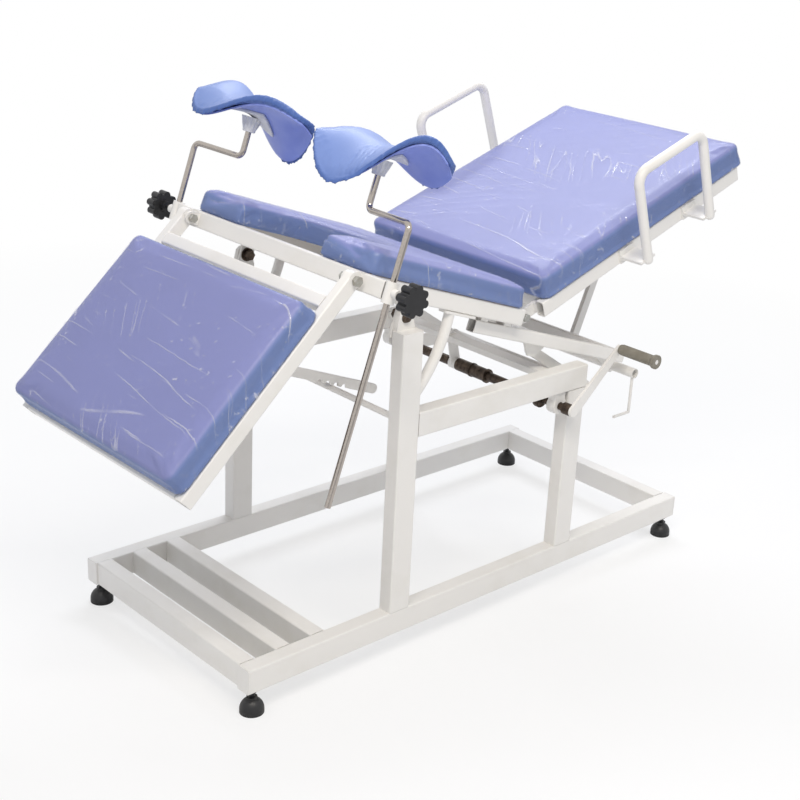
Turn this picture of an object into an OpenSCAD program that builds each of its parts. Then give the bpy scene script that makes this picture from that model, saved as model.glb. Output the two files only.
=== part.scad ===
// Gynecological examination table with a crank lift, drop leg section and leg holders.
// Foot end at -X, head end at +X, floor at Z zero, the patient's near side at -Y.

/* [Base frame] */
// Length of the floor frame
base_len = 1470; // [1440:10:1480]
// Height of every frame tube
tube_h = 60; // [58:1:60]
// Width of every frame tube
tube_w = 40; // [38:1:40]
// Wall of the frame tubes
tube_wall = 2; // [1.5:0.5:3]
// Height of the floor frame's underside above the floor
base_z = 58; // [56:1:62]
// Diameter of the levelling feet
foot_d = 55; // [48:1:58]

/* [Uprights] */
// Foot side face of the front posts
front_post_x = -338; // [-340:1:-336]
// Foot side face of the head posts
head_post_x = 229; // [226:1:232]
// Underside of the upper side rails
side_rail_z = 550; // [546:1:552]
// Top of the square part of the front posts
front_post_top = 804; // [800:1:806]

/* [Lift] */
// Angle of the top when it is fully lowered
tilt_rest = 18.43; // [18.2:0.01:18.5]
// Crank shaft diameter
crank_d = 20; // [18:1:22]
// Length of the crank arm between its two axes
crank_arm_len = 205; // [180:1:215]
// Length of the two lift levers
lever_len = 180; // [176:1:182]
// Length of the two lift links
link_len = 280; // [278:1:282]

/* [Seat section] */
// Width of the seat and back cushions
cushion_w = 644; // [636:1:648]
// Thickness of the seat cushion
seat_th = 58; // [50:1:62]
// Foot end of the seat cushion from the tilt axis
seat_foot = -154; // [-156:1:-150]
// Head end of the seat cushion from the tilt axis
seat_head = 357; // [350:1:358]
// Width of the cut-out in the seat
cut_w = 295; // [270:1:300]
// Depth of the cut-out in the seat
cut_len = 255; // [200:1:270]
// Height of the seat and back side rails
seat_rail_h = 40; // [38:1:40]
// Width of the seat and back side rails
seat_rail_w = 25; // [22:1:25]

/* [Back section] */
// Angle of the back above the seat at rest
back_rest = 37.87; // [37.5:0.01:38.2]
// Length of the back cushion
back_len = 792; // [770:1:800]
// Thickness of the back cushion
back_th = 67; // [60:1:68]
// Height of the arm handles above the back rails
handle_h = 226; // [190:1:235]
// Diameter of the handle tube
handle_d = 25; // [22:1:26]

/* [Leg section] */
// Angle of the leg section below the seat at rest
leg_rest = 62.2; // [61:0.1:63]
// Length of the leg cushion
leg_len = 466; // [450:1:480]
// Thickness of the leg cushion
leg_th = 61; // [55:1:64]

/* [Leg holders] */
// Diameter of the holder rods
rod_d = 14; // [12:1:16]
// Length of a saddle along its long way
saddle_len = 318; // [300:1:330]
// Width of a saddle
saddle_w = 178; // [165:1:185]
// Thickness of a saddle's pad
pad_th = 18; // [16:1:20]

/* [Hidden] */
$fn = 48;
over = 1;
gap = 0.3;
slip = 0.5;
fit = 0.05;
tube_r = 4;
steel_t = 5;
plate_t = 8;
sheet_t = 3;

// Places worked out from the driving sizes
frame_margin = 8;
leg_margin = 5;
rail_margin = 7;
base_w = cushion_w + 2 * frame_margin;
leg_w = cushion_w - 2 * leg_margin;
half_w = base_w / 2;
seat_rail_out = cushion_w / 2 - rail_margin;
seat_rail_in = seat_rail_out - seat_rail_w;
rail_y = half_w - tube_w / 2;
inner_y = half_w - tube_w;
base_top = base_z + tube_h;
rail_top = side_rail_z + tube_h;
front_post_mid = front_post_x + tube_h / 2;
head_post_mid = head_post_x + tube_h / 2;
head_post_end = head_post_x + tube_h;
foot_inset = tube_w / 2;
sides = [-1, 1];
pivot_rise = 28;
pivot_x = front_post_mid;
pivot_z = front_post_top + pivot_rise;
crank_back = 23;
crank_below = 35;
crank_x = head_post_x - crank_back;
crank_z = side_rail_z - crank_below;

// Floor frame
slat_gap = 57;
slat_places = [1, 2];
cap_t = 4;

// Levelling feet
foot_rim_h = 8;
foot_neck_d = 24;
foot_neck_h = 22;
stud_d = 12;
stud_nut_h = 8;
stud_nut_d = 20;

// Post tops and tilt bolts
lug_taper = 7;
lug_r = 18;
lug_t = 12;
lug_top = pivot_z + lug_r;
tilt_bolt_d = 16;
tilt_head_h = 7;
tilt_head_d = 26;
tilt_nut_h = 13;
tilt_washer_h = 2.5;
tilt_washer_d = 34;

// Rest brackets and the rod that the leg prop lies on
bracket_d = 25;
bracket_inset = 4;
bracket_y = rail_y - bracket_inset;
bracket_lean = 44.65;
bracket_low_lean = 50;
bracket_end_lean = 10;
bracket_bend = 361;
bracket_rise = 35;
rest_pad_u0 = 100;
rest_pad_len = 98;
rest_pad_t = 6;
rest_rod_d = 15;
rest_rod_in = 9;
rest_rod_up = 52;
rest_rod_x = front_post_x + rest_rod_in;
rest_rod_z = side_rail_z + rest_rod_up;

// Cross member and the hangers of the reduction hub
cross_back = 18;
cross_x = crank_x - cross_back;
cross_w = 36;
cross_h = 16;
cross_up = 33;
cross_z = side_rail_z + cross_up;
hanger_w = 28;
hanger_t = 6;
hanger_y = 42;
hanger_len = 26;
hanger_hub_d = 32;
cross_bolt_d = 8;
cross_bolt_gap = 40;

// Bearings of the crank shaft
bearing_d = 45;
bearing_len = 26;
bearing_off = 1;
bearing_y = rail_y + bearing_off;
bearing_saddle_w = 34;
seal_t = 3;
seal_d = 40;

// Torque tube with the reduction hub, its levers and links
beam_w = 25;
beam_y = seat_rail_in - beam_w;
link_t = 6;
link_lug_in = 3;
link_gap = 4.5;
link_lug_y = beam_y - link_lug_in;
link_y = link_lug_y - link_t - link_gap;
lever_t = 8;
lever_y = link_y - slip - lever_t;
torque_d = 25;
knurl_t = 11;
torque_end = lever_y + lever_t + knurl_t;
hub_d = 34;
hub_foot = -69;
hub_ring = -14;
hub_ring_d = 38;
hub_ring_t = 5;
knurl_d = 48;
lever_w = 38;
lever_tip_w = 34;
lever_bar_d = 31;
pin_d = 12;
link_w = 26;
pin_head_d = 20;
pin_head_t = 3;

// Crank
hub_out = 22;
hub_y = half_w + hub_out;
crank_hub_d = 30;
crank_hub_len = 26;
crank_arm_w = 20;
crank_arm_t = 8;
crank_arm_y = hub_y + crank_hub_len / 2;
crank_angle = 41;
grip_d = 28;
grip_start = crank_arm_y + crank_arm_t + 2 * slip;
grip_len = 116;
grip_pin_d = 12;
grip_flange_d = 36;
grip_flange_t = 7;
grip_neck_d = 24;

// Seat frame, in the tilting top's own axes: u along the seat, v square to it
seat_rail_v = 35;
seat_mid_v = seat_rail_v + seat_rail_h / 2;
seat_top_v = seat_rail_v + seat_rail_h;
seat_rail_head = 365;
leg_hinge_u = -185;
leg_hinge_v = 55;
back_hinge_u = 397.5;
front_tube_u = -163;
front_tube_w = 28;
head_tube_u = 330;
head_tube_w = 30;
pivot_plate_low = -52;
pivot_plate_w = 38;
pivot_plate_y = inner_y - slip - plate_t;
hinge_lug_y = seat_rail_in - plate_t;
hinge_lug_h = 30;
hinge_bolt_d = 12;
hinge_head_d = 24;
hinge_head_h = 9;
hinge_washer_t = 3;
beam_u0 = 236;
beam_u1 = 832;
beam_v = -6;
beam_h = 32;
beam_post_u = 262;
beam_bar_u = 803;
beam_bar_w = 32;
link_lug_u = 490;
link_lug_v = -22;
link_lug_w = 40;
prop_pin_u = 837;
prop_pin_v = 8;
prop_lug_y = 94;

// Rod sleeves and knobs
sleeve_u = -153;
sleeve_out = 73;
sleeve_y = seat_rail_out + sleeve_out;
sleeve_d = 28;
sleeve_low = 31;
sleeve_len = 46;
knob_out = 67;
knob_y = sleeve_y + knob_out;
knob_d = 70;
knob_t = 26;
knob_lobes = 8;
knob_lobe_d = 17;
knob_core_d = 54;
knob_stud_d = 10;
knob_neck_d = 26;
knob_neck_t = 12;

// Seat cushion
seat_corner = 24;
cushion_crown = 6;
cushion_draw = 5;
cushion_edge = 11;

// Back section, in its own axes from the back hinge
back_rail_v = -16;
back_rail_h = seat_rail_h;
back_rail_foot = 42;
back_rail_head = 815;
back_foot = 50;
back_cushion_v = back_rail_v + back_rail_h;
back_lug_t = plate_t;
back_lug_y = hinge_lug_y - slip - back_lug_t;
back_bar_w = 30;
back_bars = [62, 340, 785];
track_y = 114;
track_u0 = 450;
track_u1 = 812;
track_t = 8;
track_pitch = 30;
track_notch_d = 14;
handle_gap = 52.5;
handle_y = cushion_w / 2 + handle_gap + handle_d / 2;
handle_u0 = 348;
handle_u1 = 598;
handle_spread = 30;
handle_r = 34;
handle_tab_w = 54;
handle_tab_t = 6;
handle_tab_drop = 34;
handle_out = handle_y - seat_rail_out;

// Back prop
prop_len = 365;
prop_line_v = -34;
prop_w = 12;
prop_h = 22;
prop_y = 104;
prop_rod_d = 12;
prop_eye_d = 26;

// Release lever under the head end of the beams
release_u = 889;
release_v = -26;
release_d = 27;
release_out = 10;
release_y = seat_rail_in + release_out;
release_wall = 2;
release_arm_d = 8;
release_drop = 112;
release_hook = 62;
release_lug_y = 214;
release_ear_d = 40;

// Leg section, in its own axes from the leg hinge
leg_rail_v = -16;
leg_rail_h = 36;
leg_rail_end = 575;
leg_cushion_u = 103;
leg_cushion_v = leg_rail_v + leg_rail_h;
leg_bars = [60, 330, 545];
leg_bar_w = 30;
leg_prop_u = 250;
leg_prop_y = -84;
leg_prop_len = 436;
leg_prop_t = 8;
leg_prop_h = 24;
leg_prop_notches = 4;
leg_prop_pitch = 26;
leg_prop_notch_d = 17;
leg_prop_lug_h = 34;

// Holder rods, bent twice
rod_low = -415;
rod_high = 200;
rod_bend = 16;
// The near rod stands turned and lower, the far one straighter and higher
rod_turns = [12.65, 5.25];
rod_raises = [0, 24];
rod_reaches = [180, 166];
saddle_heights = [301, 309];
saddle_yaws = [-63, 107.7];

function side_of(s) = s < 0 ? 0 : 1;
function rod_swing(s) = rod_turns[side_of(s)];
function rod_lift(s) = rod_raises[side_of(s)];
function rod_reach(s) = rod_reaches[side_of(s)];

// Leg holders
saddle_bulge = 32;
saddle_rise_share = 0.231;
saddle_cup_share = 0.221;
saddle_ease_share = 0.214;
saddle_lean_share = 0.156;
saddle_twist_share = 0.855;
saddle_flare_share = 0.249;
shell_th = 5;
bracket_plate_t = 7;
bracket_drop = 25.5;
bracket_fill = 16;
bracket_top = 6;
shell_trim = 2;
shell_cut = 1;
plate_trim = 8;
plate_cut = 4;
fill_trim = 9;
fill_cut = 5;
socket_d = 26;
socket_top_d = 44;
socket_len = 20;

// Colours
frame_white = "#eceae6";
vinyl_blue = "#8f93cc";
holder_blue = "#7c98dc";
chrome_grey = "#a59c94";
black_plastic = "#1c1c1e";
grip_taupe = "#8a8579";
steel_dark = "#4a4038";
zinc_grey = "#9a9da0";

// Shared shapes

module round_bar(w, h, r) {
    square([w - 2 * r, h], center = true);
    square([w, h - 2 * r], center = true);
    for (sx = sides)
        for (sy = sides)
            translate([sx * (w / 2 - r), sy * (h / 2 - r)])
                circle(r);
}

// Hollow tube along +Z, w along X and h along Y
module tube_up(w, h, len, wall = tube_wall, r = tube_r) {
    difference() {
        linear_extrude(len)
            round_bar(w, h, r);
        translate([0, 0, -over])
            linear_extrude(len + 2 * over)
                round_bar(w - 2 * wall, h - 2 * wall, r - wall / 2);
    }
}

// Hollow tube along +X, w along Y and h along Z
module tube_x(w, h, len, wall = tube_wall, r = tube_r)
    rotate([0, 90, 0])
        tube_up(h, w, len, wall, r);

// Hollow tube along +Y, w along X and h along Z
module tube_y(w, h, len, wall = tube_wall, r = tube_r)
    rotate([-90, 0, 0])
        tube_up(w, h, len, wall, r);

// Round bar along +Y
module pin_y(d, len)
    rotate([-90, 0, 0])
        cylinder(d = d, h = len);

module hex_y(d, len)
    rotate([-90, 0, 0])
        cylinder(d = d, h = len, $fn = 6);

// Flat plate square to Y from an outline in X and Z, from y = -t to y = 0
module plate_y(t)
    rotate([90, 0, 0])
        linear_extrude(t)
            children();

// Outline of a bar with a round end at each of two places
module bar_2d(x1, z1, x2, z2, w1, w2) {
    dx = x2 - x1;
    dz = z2 - z1;
    len = sqrt(dx * dx + dz * dz);
    translate([x1, z1])
        rotate(atan2(dz, dx)) {
            circle(d = w1);
            translate([len, 0])
                circle(d = w2);
            polygon([[0, -w1 / 2], [len, -w2 / 2], [len, w2 / 2], [0, w1 / 2]]);
        }
}

module tilting()
    translate([pivot_x, 0, pivot_z])
        rotate([0, tilt_rest, 0])
            children();

module back_axes()
    tilting()
        translate([back_hinge_u, 0, seat_mid_v])
            rotate([0, -back_rest, 0])
                children();

// The leg section's own axes run from its hinge down the leg, so both sides are turned
module leg_axes()
    tilting()
        translate([leg_hinge_u, 0, leg_hinge_v])
            rotate([0, -leg_rest, 0])
                mirror([1, 0, 0])
                    children();

// Torus quarter that turns a round bar from +X to +Z about the bend's centre
module elbow(d, r, turn) {
    rotate([90, 0, 0])
        rotate_extrude(angle = turn)
            translate([r, 0])
                circle(d = d);
}

// Cushion forms

function arc(cx, cy, r, a0, a1, n) =
    [for (i = [0:n]) [cx + r * cos(a0 + (a1 - a0) * i / n), cy + r * sin(a0 + (a1 - a0) * i / n)]];

function soft_r(r, inset) = max(r - inset, over);

// Plain rounded oblong from x = 0 to x = len, drawn in by inset
function oblong(len, w, r, inset, n) =
    let (q = soft_r(r, inset), x0 = inset + q, x1 = len - inset - q, y1 = w / 2 - inset - q)
    concat(arc(x1, y1, q, 0, 90, n), arc(x0, y1, q, 90, 180, n),
        arc(x0, -y1, q, 180, 270, n), arc(x1, -y1, q, 270, 360, n));

// Round-ended notch that runs in from below x = 0, grown by inset
function notch(len, w, inset, n) =
    let (k = w / 2 + inset, xc = len - w / 2)
    concat([[-w, -k]], arc(xc, 0, k, -90, 90, n), [[-w, k]]);

// Height shares and inset shares of the layers from the base to the top edge
side_shares = [[0, 1], [0.1, 0.45], [0.32, 0.05], [0.55, 0], [0.78, 0.1], [0.9, 0.45], [0.97, 1]];
crown_shares = [[0.35, 2.2], [0.68, 4.2], [1, 7.5]];

function layer_z(th, crown) = concat([for (s = side_shares) s[0] * (th - crown)],
    [for (c = crown_shares) th - crown + c[0] * crown]);

function layer_in(draw, edge) = concat([for (s = side_shares) s[1] * (s[0] > side_shares[3][0] ? edge : draw)],
    [for (c = crown_shares) c[1] * edge]);

module stacked(rings, heights) {
    n = len(rings[0]);
    m = len(rings);
    pts = [for (i = [0:m - 1]) for (p = rings[i]) [p[0], p[1], heights[i]]];
    walls = [for (i = [0:m - 2]) for (j = [0:n - 1]) for (k = [0, 1])
        k == 0 ? [i * n + j, (i + 1) * n + (j + 1) % n, i * n + (j + 1) % n]
            : [i * n + j, (i + 1) * n + j, (i + 1) * n + (j + 1) % n]];
    base = [[for (j = [0:n - 1]) j]];
    lid = [[for (j = [n - 1:-1:0]) (m - 1) * n + j]];
    polyhedron(pts, concat(base, walls, lid));
}

module oblong_cushion(len, w, th, r) {
    heights = layer_z(th, cushion_crown);
    insets = layer_in(cushion_draw, cushion_edge);
    stacked([for (s = insets) oblong(len, w, r, s, 5)], heights);
}

module u_cushion(len, w, th, r) {
    heights = layer_z(th, cushion_crown);
    insets = layer_in(cushion_draw, cushion_edge);
    ends = [insets[0], insets[len(insets) - 1]];
    difference() {
        oblong_cushion(len, w, th, r);
        stacked([for (s = concat([ends[0]], insets, [ends[1]])) notch(cut_len, cut_w, s, 14)],
            concat([-over], heights, [th + over]));
    }
}

// Floor frame

module base_frame() {
    color(frame_white) {
        for (s = sides)
            translate([-base_len / 2, s * rail_y, base_z + tube_h / 2])
                tube_x(tube_w, tube_h, base_len);
        for (i = [0, 1])
            translate([(2 * i - 1) * (base_len / 2 - tube_w / 2), -inner_y, base_z + tube_h / 2])
                tube_y(tube_w, tube_h, 2 * inner_y);
        for (i = slat_places)
            translate([-base_len / 2 + tube_w / 2 + i * (tube_w + slat_gap), -inner_y, base_z + tube_h / 2])
                tube_y(tube_w, tube_h, 2 * inner_y);
    }
}

module tube_caps() {
    color(frame_white)
        for (s = sides)
            for (e = sides)
                translate([e * base_len / 2, s * rail_y, base_z + tube_h / 2])
                    rotate([0, e * 90, 0]) {
                        linear_extrude(cap_t)
                            round_bar(tube_h, tube_w, tube_r);
                        translate([0, 0, -3 * cap_t])
                            linear_extrude(3 * cap_t)
                                round_bar(tube_h - 2 * tube_wall, tube_w - 2 * tube_wall, tube_r - tube_wall / 2);
                    }
}

// Levelling feet

module levelling_foot(ex, sy) {
    translate([ex * (base_len / 2 - foot_inset), sy * rail_y, 0]) {
        color(black_plastic)
            rotate_extrude()
                difference() {
                    union() {
                        square([foot_d / 2, foot_rim_h]);
                        translate([0, foot_rim_h])
                            scale([1, (base_z - foot_neck_h - foot_rim_h) / (foot_d / 2)])
                                circle(d = foot_d);
                        square([foot_neck_d / 2, base_z - stud_nut_h - foot_neck_h / 2]);
                    }
                    translate([-foot_d, -foot_d])
                        square([foot_d, 3 * foot_d]);
                    translate([0, -foot_d])
                        square([foot_d, foot_d]);
                }
        color(zinc_grey) {
            cylinder(d = stud_d, h = base_z - over);
            translate([0, 0, base_z - stud_nut_h - slip])
                cylinder(d = stud_nut_d, h = stud_nut_h, $fn = 6);
        }
    }
}

module foot_front_near() levelling_foot(-1, -1);
module foot_front_far() levelling_foot(-1, 1);
module foot_head_near() levelling_foot(1, -1);
module foot_head_far() levelling_foot(1, 1);

// Posts

module front_post(s) {
    color(frame_white)
        translate([0, s * rail_y, 0])
            scale([1, s, 1])
                difference() {
                    union() {
                        translate([front_post_mid, 0, base_top])
                            tube_up(tube_h, tube_w, front_post_top - base_top - sheet_t);
                        translate([front_post_mid, 0, front_post_top - sheet_t])
                            linear_extrude(sheet_t)
                                round_bar(tube_h, tube_w, tube_r);
                        translate([0, lug_t - tube_w / 2, 0])
                            plate_y(lug_t)
                                polygon([[front_post_x + tube_r, front_post_top - sheet_t / 2],
                                    [front_post_x + tube_r, front_post_top + lug_taper],
                                    [pivot_x - lug_r, lug_top - lug_taper], [pivot_x - lug_r / 2, lug_top],
                                    [pivot_x + lug_r / 2, lug_top], [pivot_x + lug_r, lug_top - lug_taper],
                                    [front_post_x + tube_h - tube_r, front_post_top + lug_taper],
                                    [front_post_x + tube_h - tube_r, front_post_top - sheet_t / 2]]);
                    }
                    translate([pivot_x, -tube_w, pivot_z])
                        pin_y(tilt_bolt_d, 2 * tube_w);
                }
}

module front_post_near() front_post(-1);
module front_post_far() front_post(1);

module head_post(s) {
    color(frame_white)
        translate([head_post_mid, s * rail_y, base_top])
            tube_up(tube_h, tube_w, side_rail_z - base_top);
}

module head_post_near() head_post(-1);
module head_post_far() head_post(1);

module side_rail(s) {
    color(frame_white)
        translate([front_post_x + tube_h, s * rail_y, side_rail_z + tube_h / 2])
            tube_x(tube_w, tube_h, head_post_end - front_post_x - tube_h + sheet_t);
}

module side_rail_near() side_rail(-1);
module side_rail_far() side_rail(1);

module cross_member() {
    color(frame_white) {
        translate([cross_x - cross_w / 2, -inner_y, cross_z])
            cube([cross_w, 2 * inner_y, cross_h]);
        difference() {
            union() {
                translate([0, hanger_y + (hanger_len + hanger_t) / 2, 0])
                    plate_y(hanger_t)
                        bar_2d(crank_x, crank_z, cross_x, cross_z + cross_h / 2, hanger_hub_d, hanger_w);
                translate([crank_x, hanger_y + slip, crank_z])
                    pin_y(hanger_hub_d, hanger_len - slip);
            }
            translate([crank_x, 0, crank_z])
                pin_y(torque_d + 2 * fit, 2 * (hanger_y + hanger_len));
        }
    }
    color(zinc_grey)
        for (s = sides)
            for (i = sides)
                translate([cross_x, s * (inner_y - cross_bolt_gap) + i * cross_bolt_gap / 3, cross_z - sheet_t])
                    cylinder(d = 2 * cross_bolt_d, h = sheet_t, $fn = 6);
}

// Curved brackets that the lowered top rests on

rest_face_v = seat_rail_v - slip;

function tilt_xz(u, v) = [pivot_x + u * cos(tilt_rest) + v * sin(tilt_rest),
    pivot_z - u * sin(tilt_rest) + v * cos(tilt_rest)];

module rest_bracket(s) {
    post_face = front_post_x + tube_h;
    color(frame_white)
        translate([0, s * bracket_y, 0])
            difference() {
                union() {
                    translate([post_face - bracket_bend * cos(bracket_lean), 0,
                        rail_top + bracket_rise + bracket_bend * sin(bracket_lean)])
                        rotate([90, bracket_low_lean, 0])
                            rotate_extrude(angle = bracket_low_lean - bracket_end_lean)
                                translate([bracket_bend, 0])
                                    circle(d = bracket_d);
                    tilting()
                        translate([rest_pad_u0, -bracket_d / 2, rest_face_v - rest_pad_t])
                            cube([rest_pad_len, bracket_d, rest_pad_t]);
                }
                translate([post_face - 2 * tube_h, -bracket_d, base_top])
                    cube([2 * tube_h, 2 * bracket_d, front_post_top]);
                tilting()
                    translate([0, -bracket_d, rest_face_v])
                        cube([bracket_bend, 2 * bracket_d, tube_h]);
            }
}

module rest_bracket_near() rest_bracket(-1);
module rest_bracket_far() rest_bracket(1);

module leg_rest_rod() {
    color(frame_white) {
        translate([rest_rod_x, -inner_y, rest_rod_z])
            pin_y(rest_rod_d, 2 * inner_y);
    }
}

// Bearings of the crank shaft under the side rails

module bearing(s) {
    color(frame_white)
        difference() {
            union() {
                translate([crank_x, s * bearing_y - bearing_len / 2, crank_z])
                    pin_y(bearing_d, bearing_len);
                translate([crank_x - bearing_saddle_w / 2, s * bearing_y - bearing_len / 2, crank_z])
                    cube([bearing_saddle_w, bearing_len, side_rail_z - crank_z]);
            }
            translate([crank_x, s * bearing_y - bearing_len, crank_z])
                pin_y(crank_d + 2 * fit, 2 * bearing_len);
        }
}

module bearing_near() bearing(-1);
module bearing_far() bearing(1);

module tilt_bolts() {
    color(steel_dark)
        for (s = sides)
            scale([1, s, 1]) {
                translate([pivot_x, pivot_plate_y - tilt_washer_h - tilt_nut_h, pivot_z])
                    pin_y(tilt_bolt_d, inner_y + lug_t - pivot_plate_y + tilt_washer_h + tilt_nut_h);
                translate([pivot_x, inner_y + lug_t, pivot_z])
                    rotate([-90, 0, 0])
                        cylinder(d1 = tilt_head_d, d2 = tilt_head_d - tilt_head_h, h = tilt_head_h);
                translate([pivot_x, pivot_plate_y - slip - tilt_washer_h, pivot_z])
                    pin_y(tilt_washer_d, tilt_washer_h);
                translate([pivot_x, pivot_plate_y - slip - tilt_washer_h - tilt_nut_h, pivot_z])
                    hex_y(tilt_head_d, tilt_nut_h);
            }
}

// Tilting top

module seat_frame() {
    color(frame_white)
        tilting() {
            for (s = sides)
                scale([1, s, 1]) {
                    translate([front_tube_u, seat_rail_out - seat_rail_w / 2, seat_mid_v])
                        tube_x(seat_rail_w, seat_rail_h, seat_rail_head - front_tube_u);
                    difference() {
                        translate([0, seat_rail_in, 0])
                            plate_y(plate_t) {
                                bar_2d(front_tube_u, leg_hinge_v, leg_hinge_u, leg_hinge_v, hinge_lug_h, hinge_lug_h);
                            }
                        translate([leg_hinge_u, seat_rail_in - 2 * plate_t, leg_hinge_v])
                            pin_y(hinge_bolt_d, 3 * plate_t);
                    }
                    difference() {
                        translate([0, seat_rail_in, 0])
                            plate_y(plate_t)
                                bar_2d(head_tube_u + head_tube_w, seat_mid_v, back_hinge_u, seat_mid_v,
                                    hinge_lug_h, hinge_lug_h);
                        translate([back_hinge_u, seat_rail_in - 2 * plate_t, seat_mid_v])
                            pin_y(hinge_bolt_d, 3 * plate_t);
                    }
                    difference() {
                        union() {
                            translate([0, pivot_plate_y + plate_t, 0])
                                plate_y(plate_t) {
                                    bar_2d(0, 0, 0, seat_mid_v, pivot_plate_w, pivot_plate_w);
                                    translate([-pivot_plate_w / 2, pivot_plate_low])
                                        square([pivot_plate_w, -pivot_plate_low]);
                                }
                            translate([-pivot_plate_w / 2, pivot_plate_y, seat_rail_v])
                                cube([pivot_plate_w, seat_rail_in - pivot_plate_y, seat_rail_h]);
                        }
                        translate([0, pivot_plate_y - plate_t, 0])
                            pin_y(tilt_bolt_d + 2 * fit, 3 * plate_t);
                    }
                    for (u = [beam_post_u, head_tube_u + head_tube_w / 2])
                        translate([u - beam_w / 2, beam_y, beam_v + beam_h])
                            cube([beam_w, beam_w, seat_rail_v + steel_t - beam_v - beam_h]);
                    translate([beam_post_u - beam_w / 2, beam_y, seat_rail_v])
                        cube([beam_w, beam_w, seat_rail_h - steel_t]);
                }
            translate([front_tube_u + front_tube_w / 2, -(sleeve_y - sleeve_d / 2), seat_mid_v])
                tube_y(front_tube_w, seat_rail_h, 2 * (sleeve_y - sleeve_d / 2));
            translate([head_tube_u + head_tube_w / 2, -seat_rail_in, seat_mid_v])
                tube_y(head_tube_w, seat_rail_h, 2 * seat_rail_in);
        }
}

module lift_beams() {
    color(frame_white)
        tilting() {
            for (s = sides)
                scale([1, s, 1]) {
                    translate([beam_u0, beam_y + beam_w / 2, beam_v + beam_h / 2])
                        tube_x(beam_w, beam_h, beam_u1 - beam_u0);
                    translate([0, link_lug_y + link_t, 0])
                        plate_y(link_t)
                            polygon([[link_lug_u - link_lug_w, beam_v], [link_lug_u - link_lug_w / 3, link_lug_v * 1.7],
                                [link_lug_u + link_lug_w / 3, link_lug_v * 1.7], [link_lug_u + link_lug_w, beam_v],
                                [link_lug_u + link_lug_w, beam_v + link_t], [link_lug_u - link_lug_w, beam_v + link_t]]);
                }
            translate([beam_bar_u, -beam_y - over, beam_v + beam_h / 2])
                tube_y(beam_bar_w, beam_h - 2 * slip, 2 * (beam_y + over));
            for (s = sides)
                translate([0, s * prop_lug_y + link_t / 2, 0])
                    plate_y(link_t)
                        bar_2d(beam_bar_u + beam_bar_w / 3, prop_pin_v, prop_pin_u, prop_pin_v, prop_h, prop_h);
            for (s = sides)
                scale([1, s, 1])
                    translate([prop_pin_u, prop_lug_y, prop_pin_v])
                        pin_y(prop_rod_d, 2 * prop_w);
            for (s = sides)
                difference() {
                    translate([0, s * release_lug_y + link_t / 2, 0])
                        plate_y(link_t)
                            bar_2d(beam_bar_u, beam_v + beam_h / 2, release_u, release_v, beam_h - link_t, release_ear_d);
                    translate([release_u, s * release_lug_y - link_t, release_v])
                        pin_y(release_d + 2 * fit, 2 * link_t);
                }
        }
}

module rod_sleeve(s) {
    color(frame_white)
        tilting()
            difference() {
                union() {
                    translate([sleeve_u, s * sleeve_y, sleeve_low])
                        cylinder(d = sleeve_d, h = sleeve_len);
                    translate([sleeve_u, s > 0 ? sleeve_y : -sleeve_y - sleeve_d / 2 - knob_neck_t, seat_mid_v])
                        pin_y(knob_neck_d - 2 * sheet_t, sleeve_d / 2 + knob_neck_t);
                }
                translate([sleeve_u, s * sleeve_y, sleeve_low - over])
                    cylinder(d = rod_d + 2 * fit, h = sleeve_len + 2 * over);
                translate([sleeve_u, s > 0 ? sleeve_y : -sleeve_y - sleeve_d - knob_neck_t, seat_mid_v])
                    pin_y(knob_stud_d + 2 * fit, sleeve_d + knob_neck_t);
            }
}

module rod_sleeve_near() rod_sleeve(-1);
module rod_sleeve_far() rod_sleeve(1);

module seat_cushion() {
    color(vinyl_blue)
        tilting()
            translate([seat_foot, 0, seat_top_v])
                u_cushion(seat_head - seat_foot, cushion_w, seat_th, seat_corner);
}

module hinge_bolt() {
    translate([0, hinge_lug_y - hinge_washer_t, 0])
        pin_y(hinge_bolt_d, seat_rail_out - hinge_lug_y + hinge_washer_t + slip);
    translate([0, seat_rail_out + slip, 0])
        hex_y(hinge_head_d, hinge_head_h);
    translate([0, hinge_lug_y - hinge_washer_t - hinge_head_h, 0])
        hex_y(hinge_head_d - hinge_washer_t, hinge_head_h);
}

module leg_hinge_bolts() {
    color(zinc_grey)
        tilting()
            for (s = sides)
                scale([1, s, 1])
                    translate([leg_hinge_u, 0, leg_hinge_v])
                        hinge_bolt();
}

module back_hinge_bolts() {
    color(zinc_grey)
        tilting()
            for (s = sides)
                scale([1, s, 1])
                    translate([back_hinge_u, 0, seat_mid_v]) {
                        translate([0, back_lug_y - slip - hinge_washer_t, 0])
                            pin_y(hinge_bolt_d, seat_rail_in - back_lug_y + hinge_washer_t + 2 * slip);
                        translate([0, seat_rail_in, 0])
                            hex_y(hinge_head_d - hinge_washer_t, hinge_head_h);
                        translate([0, back_lug_y - slip - hinge_washer_t, 0])
                            hex_y(hinge_head_d - hinge_washer_t, hinge_washer_t);
                    }
}

// Back section

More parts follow.
